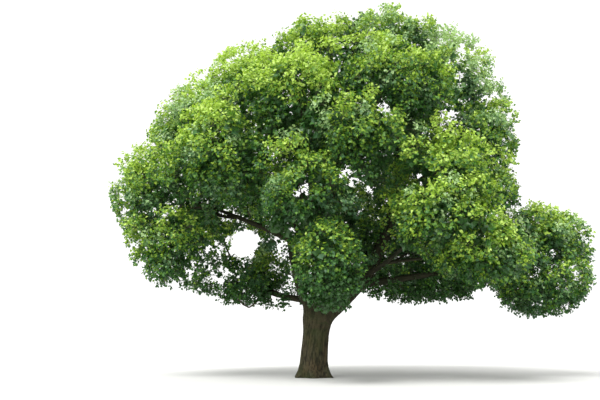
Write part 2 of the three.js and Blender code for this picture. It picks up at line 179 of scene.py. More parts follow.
# The limb that forks before it reaches any foliage, and the foliage masses with their boughs, as in the
# part's source: name, middle, radii, the limb that the bough springs from and where, and how it turns.
FORKS = [{"name": "left_limb", "from": "trunk", "at": 0.82, "to": (-1.05, 0, 6.1), "bend": (0.8, 0.35)}]
MASSES = [
    ("top", (3.8, 0.8, 15.6), (3.2, 3.6, 2.5), "trunk", 0.84, (1.25, 0.26)),
    ("top_left", (0.4, 0.5, 15.0), (3.0, 3.5, 2.5), "trunk", 0.9, (4, 0.5)),
    ("top_back", (1.6, 4.6, 13.0), (3.6, 3.5, 3.0), "bough_top_left", 0.6, (0.4, 0.5)),
    ("upper_right", (6.45, 0.5, 13.8), (3.0, 3.6, 2.9), "bough_top", 0.7, (0.5, 0.4)),
    ("right_shoulder", (7.6, 0.5, 11.2), (2.5, 3.7, 2.5), "bough_top", 0.58, (0.5, 0.4)),
    ("right_middle", (7.2, -0.2, 8.3), (2.6, 3.5, 2.3), "bough_top", 0.46, (0.5, 0.5)),
    ("upper_left", (-2.8, 0.5, 13.2), (3.1, 3.7, 2.8), "bough_top_left", 0.52, (0.4, 0.6)),
    ("left_shoulder", (-5.1, 0, 11.1), (2.9, 3.6, 2.7), "left_limb", 1, (0.3, 0.5)),
    ("left_middle", (-7.1, 0.2, 8.5), (2.7, 3.5, 2.5), "left_limb", 1, (0.45, 0.5)),
    ("left_low", (-6.2, -0.2, 5.95), (2.5, 2.9, 2.5), "bough_left_middle", 0.62, (0.5, -0.3)),
    ("left_inner", (-3.5, 3.0, 4.8), (3.0, 2.7, 1.9), "bough_back_left_low", 0.45, (0.5, -1)),
    ("centre", (3.4, 2.6, 7.0), (2.6, 2.6, 3.0), "bough_back_middle", 0.6, (0.5, 0.4)),
    ("front_top", (-0.7, -3.6, 11.6), (2.8, 3.3, 2.6), "trunk", 0.9, (0.12, 0.62)),
    ("front_high_right", (3.3, -3.5, 12.1), (2.9, 3.3, 2.6), "bough_front_top", 0.66, (0.5, 0.6)),
    ("front_right", (1.7, -4.7, 9.4), (2.5, 2.8, 2.1), "bough_front_top", 0.55, (0.5, 0.6)),
    ("front_left", (-3.8, -3.7, 9.0), (2.9, 3.1, 2.6), "bough_front_top", 0.4, (0.5, 0.5)),
    ("front_middle", (-0.6, -4.5, 7.3), (2.3, 2.7, 2.0), "bough_front_top", 0.36, (0.5, 0.5)),
    ("front_low", (0.45, -5.2, 4.3), (1.75, 2.0, 2.3), "trunk", 0.76, (0.4, 0.9)),
    ("cascade_top", (5.1, -4.2, 8.3), (2.3, 2.7, 1.8), "bough_top", 0.4, (0.4, 0.6)),
    ("cascade_middle", (4.5, -5.0, 6.5), (2.3, 2.5, 1.8), "bough_top", 0.24, (0.5, 0.2)),
    ("cascade_low", (6.6, -4.1, 5.0), (2.4, 2.7, 1.8), "bough_cascade_middle", 0.45, (0.5, 0.6)),
    ("far_right_upper", (10.5, 0.8, 6.1), (2.9, 3.4, 2.0), "bough_top", 0.2, (0.5, 0.2)),
    ("far_right_low", (10.5, 0.8, 4.1), (2.6, 3.1, 1.9), "bough_far_right_upper", 0.66, (0.5, 0.6)),
    ("right_under", (5.5, 2.8, 4.6), (3.3, 2.7, 1.4), "bough_far_right_upper", 0.22, (0.5, 0.6)),
    ("back_right_upper", (5.6, 4.8, 10.8), (3.5, 3.5, 3.2), "bough_top", 0.5, (0.5, 0.5)),
    ("back_left_upper", (-3.2, 4.5, 10.6), (3.6, 3.6, 3.2), "bough_top_left", 0.42, (0.5, 0.5)),
    ("back_right_low", (6.3, 5.3, 6.8), (3.6, 3.6, 2.9), "bough_back_middle", 0.35, (0.5, 0.4)),
    ("back_middle", (1.2, 6.7, 8.4), (3.6, 3.2, 3.4), "trunk", 0.86, (0.45, 0.4)),
    ("back_left_low", (-4.7, 5.0, 7.3), (3.6, 3.5, 2.8), "bough_back_middle", 0.2, (0.75, 0.2)),
]
MIDDLES = np.array([mass[1] for mass in MASSES], float)
RADII = np.array([mass[2] for mass in MASSES], float)
MEAN_RADII = RADII.mean(axis=1)
BOUGHS = ["bough_" + mass[0] for mass in MASSES]

# The tones of the leaves from deep shade to full light, in linear red, green and blue. A leaf takes one by
# how far up and out its spray stands, how it faces the light, and how bright its mass is in the photograph.
# Some sprays have a paler, cooler green, also in tones from painted shade to painted light, most of them at
# the upper right.
TONES = [
    ("inside", (0.034, 0.100, 0.022)),
    ("dark", (0.034, 0.115, 0.032)),
    ("shaded", (0.068, 0.190, 0.040)),
    ("plain", (0.130, 0.285, 0.040)),
    ("well_lit", (0.235, 0.400, 0.044)),
    ("bright", (0.365, 0.535, 0.060)),
    ("sunlit", (0.540, 0.740, 0.150)),
]
COOL_TONES = [
    ("cool_dark", (0.050, 0.130, 0.052)),
    ("cool_shaded", (0.090, 0.205, 0.075)),
    ("cool_plain", (0.170, 0.320, 0.120)),
    ("cool_well_lit", (0.285, 0.450, 0.185)),
    ("cool_bright", (0.450, 0.635, 0.295)),
]
COOL_SHARE = 0.12  # of the sprays, but for these masses
COOL_MASSES = {
    "upper_right": 0.8, "right_shoulder": 0.6, "top": 0.5, "far_right_upper": 0.4, "far_right_low": 0.4,
    "left_shoulder": 0.3, "cascade_top": 0, "front_low": 0, "front_top": 0,
}
# How much painted light each mass's leaves take, or painted shade where the value is below 0: more for
# masses lit at the top and front of the crown, less for those in its shade.
MASS_PAINTED_LIGHT = {
    "front_top": 1.7, "upper_left": 1.9, "left_shoulder": 1.1, "left_middle": 0.5, "left_low": 0.4,
    "upper_right": 1.6, "right_shoulder": 0.2, "right_middle": 0.6, "cascade_top": 1.1,
    "cascade_middle": 1.4, "cascade_low": 0.9, "far_right_upper": 0.2, "far_right_low": -0.5,
    "front_left": 0.6, "front_middle": -0.8, "front_right": -0.2, "front_low": -2.1, "left_inner": -1.2,
    "centre": -1.5, "right_under": -1.9,
}
TOWARDS_LIGHT = np.array((-0.35, -0.5, 0.79))

# How bright a leaf looks, as light and shade painted into its tone: the plain value, and what each reason
# adds.
LIGHT = {
    "plain": 0.46,
    "outward_up": 0.2,  # for a spray on top of its mass
    "towards": 0.08,  # for one that stands towards the light
    "high": 0.14,  # for one at the top of the crown
    "lowest": 2.5,  # height of the lowest sprays
    "height": 15,  # of the crown above them
    "mass_light": 0.09,  # for each unit of its mass's painted light
    "shoot_up": 0.16,  # for a shoot that faces up
    "scatter": 0.62,  # from leaf to leaf
}

# A leaf's outline for a length of 1: across, along and up. It is folded along its midrib, and heart-shaped.
# Leaves that don't have it whole have only its foot, sides and tip.
LEAF_POINTS = np.array([
    (0.0, 0.0, 0.0),
    (-0.29, -0.11, 0.07),
    (-0.48, 0.31, 0.10),
    (0.0, 1.0, -0.10),
    (0.48, 0.31, 0.10),
    (0.29, -0.11, 0.07),
])
LEAF_FACES = np.array([(0, 3, 2), (0, 2, 1), (0, 4, 3), (0, 5, 4)])
PLAIN_LEAF_POINTS = LEAF_POINTS[[0, 2, 3, 4]]
PLAIN_LEAF_FACES = np.array([(0, 2, 1), (0, 3, 2)])

FORK = np.array((TRUNK["lean"], 0.0, TRUNK["height"]))
UP = np.array((0.0, 0.0, 1.0))
GOLDEN_ANGLE = math.pi * (3 - math.sqrt(5))
CURVE_SAMPLES = 201  # points along a curve between which its length is measured
# Directions that hardly any spray, tube or shoot has, to find a first direction across it.
ODD_WAY = (0.31, 0.95, 0.07)
ODD_WAY_OF_TUBES = (0.3, 0.9, 0.2)
ODD_WAY_OF_SHOOTS = (0.2, 0.3, 0.93)


def seeded_random(seed):
    """The random numbers of the part's source, from 0 to 1."""
    factor, step, size = 1664525, 1013904223, 4294967296
    state = seed % size
    while True:
        state = (state * factor + step) % size
        yield state / size


def unit(vectors):
    return vectors / np.maximum(np.linalg.norm(vectors, axis=-1, keepdims=True), 1e-9)


def blend(start, end, share):
    return start + (end - start) * share


def dealt(span, draws):
    """Values that are at least the first of a span, and at random up to the second more."""
    least, more = span
    return least + more * draws


class Bezier:
    """A quadratic Bezier curve, asked for by shares of its length."""

    def __init__(self, foot, turn, tip):
        self.foot, self.turn, self.tip = (np.array(point, float) for point in (foot, turn, tip))
        self.times = np.linspace(0, 1, CURVE_SAMPLES)
        steps = np.linalg.norm(np.diff(self.at_time(self.times), axis=0), axis=1)
        self.lengths = np.concatenate([[0], np.cumsum(steps)])
        self.length = self.lengths[-1]

    def at_time(self, time):
        t = np.asarray(time, float)[..., None]
        return (1 - t) ** 2 * self.foot + 2 * (1 - t) * t * self.turn + t**2 * self.tip

    def time(self, share):
        return np.interp(np.asarray(share, float) * self.length, self.lengths, self.times)

    def point(self, share):
        return self.at_time(self.time(share))

    def tangent(self, share):
        t = self.time(share)[..., None]
        return unit((1 - t) * (self.turn - self.foot) + t * (self.tip - self.turn))


class Limb:
    """A curve with a radius at each share of its length. Its solid has straight stretches between steps."""

    def __init__(self, name, curve, radius_at, foot, steps=1):
        self.name, self.curve, self.radius_at, self.foot, self.steps = name, curve, radius_at, foot, steps

    def axis_point(self, share):
        ring = min(math.floor(share * self.steps), self.steps - 1)
        ends = self.curve.point(np.array([ring, ring + 1]) / self.steps)
        return blend(ends[0], ends[1], share * self.steps - ring)


def root_flare(share):
    """How much of the root flare is left at a share of the trunk's height."""
    return np.exp(-share * TRUNK["height"] / TRUNK["flare_height"])


def make_trunk():
    curve = Bezier((0, 0, 0), (0, 0, TRUNK["height"] / 2), (TRUNK["lean"], 0, TRUNK["height"]))

    def radius_at(share):
        share = np.asarray(share, float)
        flare = root_flare(share)
        shaft = blend(TRUNK["girth_radius"], TRUNK["fork_radius"], share**2)
        over = np.maximum(0, (share - TRUNK["shoulder"]) / (1 - TRUNK["shoulder"]))
        rounded = 1 - (1 - TRUNK["top_share"]) * over**2
        return (shaft + (TRUNK["root_radius"] - TRUNK["girth_radius"]) * flare) * rounded

    return Limb("trunk", curve, radius_at, TRUNK["girth_radius"], TRUNK["steps"])


def needed_radius(name):
    """The radius that a limb needs at its foot, for its own mass and for all that springs from it."""
    own = LIMB["radius_per_reach"] * MEAN_RADII[BOUGHS.index(name)] if name in BOUGHS else 0
    springing = [fork["name"] for fork in FORKS if fork["from"] == name]
    springing += [bough for bough, mass in zip(BOUGHS, MASSES) if mass[3] == name]
    return math.hypot(own, *(needed_radius(limb) for limb in springing))


def limb_turn(start, end, bend):
    """The point at which a limb turns, at shares of its way out and of its way up."""
    out, rise = bend
    return blend(np.asarray(start), np.asarray(end), np.array((out, out, rise)))


def make_limb(name, parent, at, bend, to, mass=None):
    """A limb to a point, or a bough to where it enters the mass of that number."""
    start = parent.axis_point(at)
    tip = np.array(to, float)
    if mass is not None:
        inward = unit((limb_turn(start, tip, bend) - tip) / RADII[mass])
        tip = tip + inward * RADII[mass] * LIMB["enters"]
    curve = Bezier(start, limb_turn(start, tip, bend), tip)
    girth = float(parent.radius_at(min(at, LIMB["last_girth"])))
    foot = min(needed_radius(name), LIMB["most_of_parent"] * girth)
    tip_radius = LIMB["fork_share"] * foot
    if mass is not None:
        tip_radius = LIMB["radius_per_reach"] * LIMB["tip_share"] * MEAN_RADII[mass]

    def radius_at(share):
        share = np.asarray(share, float)
        cone = blend(tip_radius, foot, (1 - share) ** LIMB["taper"])
        return cone * (1 + LIMB["collar"] * np.exp(-share * curve.length / (LIMB["collar_length"] * foot)))

    step = LIMB["stout_step"] if foot > LIMB["stout_radius"] else LIMB["slim_step"]
    return Limb(name, curve, radius_at, foot, max(3, round(curve.length / step)))


def make_limbs():
    """The trunk, the fork and the boughs by name, each after the limb that it springs from."""
    limbs = {"trunk": make_trunk()}
    plans = [(fork["name"], fork["from"], fork["at"], fork["bend"], fork["to"], None) for fork in FORKS]
    for i, (name, middle, _, parent, at, bend) in enumerate(MASSES):
        plans.append(("bough_" + name, parent, at, bend, middle, i))
    while plans:
        plan = next(plan for plan in plans if plan[1] in limbs)
        name, parent, at, bend, to, mass = plan
        limbs[name] = make_limb(name, limbs[parent], at, bend, to, mass)
        plans.remove(plan)
    return limbs


def depths(points):
    """How far out each point is in each mass's space: 0 in the middle and 1 on the surface."""
    return np.linalg.norm((points[..., None, :] - MIDDLES) / RADII, axis=-1)


def depth_in_crown(points):
    """How far out each point is in the whole crown, where the masses merge softly: 1 on its surface."""
    merging = FOLIAGE["merging"]
    return -np.log(np.exp(-merging * depths(points)).sum(axis=-1)) / merging


def pixels(points):
    """The photograph's column and row of each point."""
    away = points[..., 1] + PHOTO["distance"]
    up = points[..., 2] - PHOTO["eye"]
    far = away * math.cos(PITCH) + up * math.sin(PITCH)
    column = PHOTO["width"] / 2 + PHOTO["focal"] * (points[..., 0] - PHOTO["aside"]) / far
    row = PHOTO["height"] / 2 - PHOTO["focal"] * (up * math.cos(PITCH) - away * math.sin(PITCH)) / far
    return column, row


def chance_bare(points):
    """For each point, the share of foliage that is left out there to open the crown to the sky."""
    column, row = pixels(points)
    bare = np.zeros(column.shape)
    for (x, y), (wide, high), most in OPENINGS:
        inside = 1 - ((column - x) / wide) ** 2 - ((row - y) / high) ** 2
        bare = np.maximum(bare, most * np.clip(OPENING_EDGE * inside, 0, 1))
    return bare


def turned_to(facing, spin):
    """Two directions across a facing direction, turned round it by an angle."""
    aside = unit(np.cross(facing, ODD_WAY))
    other = np.cross(facing, aside)
    return aside * math.cos(spin) + other * math.sin(spin), other * math.cos(spin) - aside * math.sin(spin)


# Making meshes from arrays.

def mesh_object(name, points, faces, smooth=False):
    mesh = bpy.data.meshes.new(name)
    mesh.vertices.add(len(points))
    mesh.vertices.foreach_set("co", np.ascontiguousarray(points, np.float32).ravel())
    mesh.loops.add(faces.size)
    mesh.loops.foreach_set("vertex_index", np.ascontiguousarray(faces, np.int32).ravel())
    mesh.polygons.add(len(faces))
    mesh.polygons.foreach_set("loop_start", np.arange(0, faces.size, faces.shape[1], dtype=np.int32))
    mesh.update(calc_edges=True)
    mesh.validate()
    mesh.polygons.foreach_set("use_smooth", np.full(len(mesh.polygons), smooth))
    piece = bpy.data.objects.new(name, mesh)
    bpy.context.collection.objects.link(piece)
    return piece


def spokes_round(ways, aside, sides):
    """Directions all round each way, from one that is across it."""
    angles = np.arange(sides) * 2 * math.pi / sides
    other = np.cross(ways, aside)
    return aside[:, None] * np.cos(angles)[:, None] + other[:, None] * np.sin(angles)[:, None]


def tube(centres, tangents, aside, radii):
    """The points of a tube, ring by ring, and its triangles, with a flat fan on both ends. It has a radius
    for each ring and side."""
    rings, sides = radii.shape
    spokes = spokes_round(tangents, aside, sides)
    points = (centres[:, None] + spokes * radii[..., None]).reshape(-1, 3)
    ring, side = np.divmod(np.arange((rings - 1) * sides), sides)
    a, b = ring * sides + side, ring * sides + (side + 1) % sides
    walls = np.concatenate([np.stack([a, b, b + sides], 1), np.stack([a, b + sides, a + sides], 1)])
    fan = np.stack([np.zeros(sides - 2, int), np.arange(1, sides - 1), np.arange(2, sides)], 1)
    last = (rings - 1) * sides
    return points, np.concatenate([walls, fan[:, ::-1], fan + last])


def along_curve(curve, shares):
    """The places, directions and a steady sideways direction along a curve."""
    centres = curve.point(shares)
    tangents = curve.tangent(shares)
    level = np.cross(curve.turn - curve.foot, curve.tip - curve.turn)
    if np.linalg.norm(level) < 1e-6:
        level = np.cross(tangents[0], ODD_WAY_OF_TUBES)
    return centres, tangents, np.repeat(unit(level)[None], len(shares), axis=0)


class Pile:
    """Many small meshes that are joined into one."""

    def __init__(self):
        self.points, self.faces, self.count = [], [], 0

    def add(self, points, faces):
        self.points.append(points)
        self.faces.append(faces + self.count)
        self.count += len(points)

    def piece(self, name):
        return mesh_object(name, np.concatenate(self.points), np.concatenate(self.faces))


# Bark.

BARK = {
    "grid": 0.05,  # size of the mesh's faces on the stout limbs
    "stout_sides": 36,  # of a stout limb's tube before it is merged with the others
    "step": 0.12,  # length of a tube's faces
    "stout_rings": 12,  # the fewest on a stout limb
    "slim_sides": 10,
    "slim_rings": 8,  # the fewest on a slim bough
    "underground": 0.3,  # how far the trunk goes on below the ground until it is cut
    "ground": 0.001,  # points below this height are on the ground
    "samples": 90,  # places along a limb from which the nearest is taken
    "blend": 0.45,  # the distance in which two limbs merge at a fork
    "fork_swelling": 0.09,  # how far the bark swells out there
    "smoothing": 14,  # rounds of smoothing at the forks
    "smoothing_step": 0.6,  # how far a point moves in one round
    "least_smoothing": 0.15,  # away from the forks, as a share of that at a fork
    "seam": 0.05,  # the distance in which one limb's bark gives way to another's
    "least_share": 0.02,  # bark with less than this share at a point is left out
    "smooth_foot": 0.05,  # the height in which the relief sets in above the ground
    "ridge_width": 0.105,
    "ridge_length": 0.7,
    "ridge_depth": 0.07,  # depth of a furrow as a share of the limb's radius
    "deepest": 0.034,
    "furrow_width": 0.26,  # the size of the noise up to which there is a furrow
    "wander": 0.8,  # how far a ridge leaves its line, in ridge widths
    "wander_scale": 1.3,  # how often it does
    "lumps": 0.07,  # height of the swellings as a share of the limb's radius
    "lump_size": (0.35, 1.2),  # of the swellings: a length, and what the limb's radius adds to it
    "seeds": (7.3, 5.1),  # the steps in the bark's pattern from limb to limb, for stout and for slim limbs
    "grain_step": 3,  # the same for the colours of stout limbs
}
BARK_COLOURS = {
    # deep in the furrows: darker bark, made darker still as painted shade
    "furrow": (0.010, 0.008, 0.005),
    "ridge": (0.098, 0.086, 0.050),
    "between": (0.022, 0.019, 0.010),
    "warm": (0.070, 0.048, 0.020),
    "film": (0.030, 0.044, 0.012),
    # painted shade of the crown on the limbs above the trunk
    "painted_crown_shade": (0.012, 0.014, 0.006),
}


def with_roots(radius, share, angle):
    """The trunk's radius with its buttress roots, at a share of its height and an angle round it."""
    return radius * (1 - TRUNK["lobe_depth"] * root_flare(share) * np.cos(TRUNK["lobes"] * angle))


def limb_places(limb, points):
    """For points near a limb: the distance from its surface, its radius there, and places in the bark's
    grain, which runs along the limb."""
    shares = np.linspace(0, 1, BARK["samples"])
    centres, tangents, level = along_curve(limb.curve, shares)
    nearest = np.linalg.norm(points[:, None] - centres[None], axis=-1).argmin(axis=1)
    offset = points - centres[nearest]
    beyond = (offset * tangents[nearest]).sum(axis=1)
    share = np.clip(shares[nearest] + beyond / limb.curve.length, 0, 1)
    radius = limb.radius_at(share)
    centre = limb.curve.point(share)
    spoke = points - centre
    distance = np.linalg.norm(spoke, axis=1)
    if limb.name == "trunk":
        radius = with_roots(radius, share, np.arctan2(spoke[:, 1], spoke[:, 0]))
    way = spoke / np.maximum(distance, 1e-6)[:, None]
    across = (way * level[0]).sum(axis=1) * radius
    other = (way * np.cross(tangents[nearest], level[0])).sum(axis=1) * radius
    grain = np.stack([across, other, share * limb.curve.length], 1)
    return distance - radius, radius, grain


def noise_at(places):
    return np.array([noise.noise(Vector(place)) for place in places])


def bark_relief(grain, radius, seed):
    """How far the bark stands out of the limb's surface, and how deep in a furrow it is from 0 to 1."""
    ridge = np.array([BARK["ridge_width"], BARK["ridge_width"], BARK["ridge_length"]])
    bent = grain / ridge + seed
    bent[:, 0] += BARK["wander"] * noise_at(grain * BARK["wander_scale"] + seed)
    furrow = 1 - np.clip(abs(noise_at(bent)) / BARK["furrow_width"], 0, 1)
    lump = noise_at(grain / dealt(BARK["lump_size"], radius[:, None]) + seed)
    depth = np.minimum(BARK["ridge_depth"] * radius, BARK["deepest"])
    return BARK["lumps"] * radius * lump - depth * furrow, furrow


def set_bark_facts(piece, grain, furrow):
    """Stores where a point is in the bark's grain and furrows, for the material."""
    mesh = piece.data
    mesh.attributes.new("grain", "FLOAT_VECTOR", "POINT").data.foreach_set("vector", grain.ravel())
    mesh.attributes.new("furrow", "FLOAT", "POINT").data.foreach_set("value", furrow)


def set_points(mesh, points):
    mesh.vertices.foreach_set("co", points.astype(np.float32).ravel())
    mesh.update()


def points_of(mesh):
    points = np.empty(3 * len(mesh.vertices), np.float32)
    mesh.vertices.foreach_get("co", points)
    return points.reshape(-1, 3).astype(float)


def normals_of(mesh):
    normals = np.empty(3 * len(mesh.vertices), np.float32)
    mesh.vertex_normals.foreach_get("vector", normals)
    return normals.reshape(-1, 3).astype(float)


def stout_tube(limb):
    """A closed tube for a stout limb. The trunk's goes on below the ground, where it is cut later."""
    shares = np.linspace(0, 1, max(BARK["stout_rings"], round(limb.curve.length / BARK["step"])))
    centres, tangents, level = along_curve(limb.curve, shares)
    sides = BARK["stout_sides"]
    radii = np.repeat(limb.radius_at(shares)[:, None], sides, axis=1)
    if limb.name == "trunk":
        spokes = spokes_round(tangents, level, sides)
        radii = with_roots(radii, shares[:, None], np.arctan2(spokes[..., 1], spokes[..., 0]))
        centres = np.concatenate([centres[:1] - BARK["underground"] * UP, centres])
        tangents, level = (np.concatenate([each[:1], each]) for each in (tangents, level))
        radii = np.concatenate([radii[:1], radii])
    return tube(centres, tangents, level, radii)


def merged_mesh(limbs):
    """One skin over the stout limbs, with even faces. It is cut flat at the ground afterwards."""
    pile = Pile()
    for limb in limbs:
        pile.add(*stout_tube(limb))
    piece = pile.piece("trunk_and_limbs")
    modifier = piece.modifiers.new("skin", "REMESH")
    modifier.mode = "VOXEL"
    modifier.voxel_size = BARK["grid"]
    evaluated = piece.evaluated_get(bpy.context.evaluated_depsgraph_get())
    skin = bpy.data.meshes.new_from_object(evaluated)
    piece.modifiers.clear()
    piece.data = skin
    return piece


def smoothed(points, edges, weights):
    """Moves each point towards the middle of its neighbours, as far as its weight says."""
    ends = np.concatenate([edges, edges[:, ::-1]])
    own, other = ends[:, 0], ends[:, 1]
    count = np.bincount(own, minlength=len(points))[:, None]
    for _ in range(BARK["smoothing"]):
        sums = np.stack([np.bincount(own, points[other, axis], len(points)) for axis in range(3)], 1)
        middles = sums / np.maximum(count, 1)
        points = blend(points, middles, BARK["smoothing_step"] * weights[:, None])
    return points


def cut_at_ground(mesh):
    """Cuts off what is below the ground, and closes the cut."""
    solid = bmesh.new()
    solid.from_mesh(mesh)
    everything = solid.verts[:] + solid.edges[:] + solid.faces[:]
    ground = {"plane_co": (0, 0, 0), "plane_no": (0, 0, -1)}
    cut = bmesh.ops.bisect_plane(solid, geom=everything, clear_outer=True, **ground)
    rim = [item for item in cut["geom_cut"] if isinstance(item, bmesh.types.BMEdge)]
    bmesh.ops.contextual_create(solid, geom=rim)
    solid.to_mesh(mesh)
    solid.free()


def swollen_at_forks(mesh, points, distances):
    """The skin's points, moved out and smoothed where two limbs are about equally near."""
    ordered = np.sort(distances, axis=0)
    near_fork = np.clip(1 - (ordered[1] - ordered[0]) / BARK["blend"], 0, 1)
    edges = np.empty(2 * len(mesh.edges), np.int32)
    mesh.edges.foreach_get("vertices", edges)
    points = points + normals_of(mesh) * (BARK["fork_swelling"] * near_fork**3)[:, None]
    return smoothed(points, edges.reshape(-1, 2), np.clip(2 * near_fork, BARK["least_smoothing"], 1))


def merged_bark(places, distances):
    """The relief, furrows and grain of the skin, where each limb's bark has a share by how near it is."""
    count = distances.shape[1]
    share = np.exp(-(distances - distances.min(axis=0)) / BARK["seam"])
    share = share / share.sum(axis=0)
    relief, furrow, grain = np.zeros(count), np.zeros(count), np.zeros((count, 3))
    for i, (_, radius, own_grain) in enumerate(places):
        held = share[i] > BARK["least_share"]
        own_relief, own_furrow = bark_relief(own_grain[held], radius[held], BARK["seeds"][0] * i)
        relief[held] += share[i][held] * own_relief
        furrow[held] += share[i][held] * own_furrow
        grain[held] += share[i][held, None] * (own_grain[held] + BARK["grain_step"] * i)
    return relief, furrow, grain


def make_stout_limbs(limbs):
    """Trunk and stout limbs as one skin that swells where they fork, with ridged bark."""
    piece = merged_mesh(limbs)
    mesh = piece.data
    cut_at_ground(mesh)
    points = points_of(mesh)
    on_ground = points[:, 2] < BARK["ground"]
    places = [limb_places(limb, points) for limb in limbs]
    distances = np.stack([place[0] for place in places])
    points = swollen_at_forks(mesh, points, distances)
    set_points(mesh, points)
    relief, furrow, grain = merged_bark(places, distances)
    above = np.clip(points[:, 2] / BARK["smooth_foot"], 0, 1)
    moved = points + normals_of(mesh) * (relief * above)[:, None]
    moved[:, 2] = np.where(on_ground, 0, np.maximum(moved[:, 2], BARK["ground"]))
    set_points(mesh, moved)
    mesh.polygons.foreach_set("use_smooth", np.full(len(mesh.polygons), True))
    set_bark_facts(piece, grain, furrow)
    return piece


def make_slim_bough(limb, seed):
    """A slim bough as a ridged tube, thicker where it leaves its parent."""
    shares = np.linspace(0, 1, max(BARK["slim_rings"], round(limb.curve.length / BARK["step"])))
    centres, tangents, level = along_curve(limb.curve, shares)
    radii = np.repeat(limb.radius_at(shares)[:, None], BARK["slim_sides"], axis=1)
    points, faces = tube(centres, tangents, level, radii)
    _, radius, grain = limb_places(limb, points)
    relief, furrow = bark_relief(grain, radius, seed)
    spokes = unit(points - np.repeat(centres, BARK["slim_sides"], axis=0))
    piece = mesh_object(limb.name + "_bark", points + spokes * relief[:, None], faces, smooth=True)
    set_bark_facts(piece, grain, furrow)
    return piece


# Twigs and leaves.

def make_stem(mass, bough):
    """The stem of a mass, which goes on from its bough's tip and curves up through its middle."""
    way = bough.curve.tangent(1.0)
    start = bough.curve.point(1.0)
    past = unit(way + UP * FOLIAGE["stem_rise"]) * RADII[mass]
    end = MIDDLES[mass] + past * FOLIAGE["stem_reach"]
    turn = start + way * FOLIAGE["stem_turn"] * np.linalg.norm(end - start)
    foot = float(bough.radius_at(1.0))

    def radius_at(share):
        return foot * blend(1, FOLIAGE["stem_tip"], share)

    return Limb("stem", Bezier(start, turn, end), radius_at, foot)


def billow(point):
    """How far the crown swells out or draws in at a place, as a share of a mass's radii."""
    return sum(depth * noise.noise(Vector(point / size)) for size, depth in FOLIAGE["billows"])


def spray_places(mass, kind, random):
    """A mass's sprays, spread evenly by the golden angle with a little scatter. They lie like tiles on the
    mass, and those below turn level."""
    plan = SPRAYS[kind]
    count = round(plan["count"] * 4 * math.pi * MEAN_RADII[mass] ** 2)
    places = []
    for i in range(count):
        height = 1 - (2 * i + 1) / count
        width = math.sqrt(1 - height * height)
        angle = i * GOLDEN_ANGLE + (next(random) - 0.5) * FOLIAGE["scatter"]
        reach = blend(*plan["reach"], next(random))
        outward = np.array((width * math.cos(angle), width * math.sin(angle), height))
        rise = max(height, 0) + FOLIAGE["facing_up"] * (1 + min(height, 0))
        facing = unit(np.array((*outward[:2], rise)))
        radius = blend(*plan["radius"], next(random))
        spin = 2 * math.pi * next(random)
        line = MIDDLES[mass] + outward * RADII[mass] * FOLIAGE["tried"][:, None]
        swelling = billow(line[FOLIAGE["billow_at"]])
        beyond = np.flatnonzero(depth_in_crown(line) > reach + swelling)
        if not len(beyond):
            continue
        middle = line[beyond[0]]
        if depths(middle).argmin() == mass:
            radius *= max(1, depths(middle)[mass] / plan["reach"][1])
            distance, deep = FOLIAGE["covered"]
            covered = depth_in_crown(middle + outward * distance) < deep
            places.append({
                "middle": middle, "facing": facing, "outward": outward, "reach": reach, "radius": radius,
                "spin": spin, "kind": "covered" if covered and kind == "outer" else kind,
            })
    return places


class Growth:
    """What has grown in a mass so far, with the points where another twig can spring."""

    def __init__(self, stem):
        self.points, self.radii = [], []
        self.offer(stem, FOLIAGE["stem_shares"])

    def offer(self, limb, shares):
        self.points += list(limb.curve.point(np.array(shares)))
        self.radii += [float(limb.radius_at(share)) for share in shares]

    def take_nearest(self, place):
        nearest = int(np.linalg.norm(np.array(self.points) - place, axis=1).argmin())
        return self.points.pop(nearest), self.radii.pop(nearest)


def make_twig(start, place, foot):
    """A twig between two points that rises on the way, with its radius at the foot."""
    rise = FOLIAGE["twig_bow"] * np.linalg.norm(place - start)
    curve = Bezier(start, (start + place) / 2 + UP * rise, place)
    return Limb("twig", curve, lambda share: blend(foot, FOLIAGE["twig_tip"], share), foot)


def grow_twig(growth, place):
    """A twig to a place from the nearest free point of what has grown."""
    start, parent_radius = growth.take_nearest(place)
    twig = make_twig(start, place, max(FOLIAGE["twig_tip"], FOLIAGE["twig_taper"] * parent_radius))
    growth.offer(twig, FOLIAGE["twig_shares"])
    return twig


def add_tube(pile, limb, faces):
    sides, rings = faces
    shares = np.linspace(0, 1, rings)
    radii = np.repeat(limb.radius_at(shares)[:, None], sides, axis=1)
    pile.add(*tube(*along_curve(limb.curve, shares), radii))


def grow_shoots(spray, rng):
    """The feet and tips of a spray's shoots, and the ways they face. The tips are spread over a dome."""
    area = math.pi * spray["radius"] ** 2
    count = max(SHOOTS["fewest"], round(SPRAYS[spray["kind"]]["shoots"] * area))
    out = np.sqrt((np.arange(count) + SHOOTS["inmost"]) / (count + SHOOTS["inmost"]))
    angle = spray["spin"] + np.arange(count) * GOLDEN_ANGLE + SHOOTS["scatter"] * rng.random(count)
    aside, other = turned_to(spray["facing"], spray["spin"])
    flat = aside * (out * np.cos(angle))[:, None] + other * (out * np.sin(angle))[:, None]
    rise = SHOOTS["dome"] * np.sqrt(1 - out**2) - FOLIAGE["hang"] * out**2
    jitter = SHOOTS["jitter"] * (rng.random((count, 3)) - 0.5)
    ways = flat + spray["facing"] * rise[:, None] + jitter
    tips = spray["middle"] + spray["radius"] * ways * (1 - SHOOTS["tuft"] * rng.random((count, 1)))
    foot = spray["middle"] - SHOOTS["behind"] * spray["radius"] * spray["facing"]
    feet = foot + SHOOTS["feet"] * (tips - foot) * rng.random((count, 1))
    return feet, tips, unit(ways + SHOOTS["facing"] * spray["facing"])


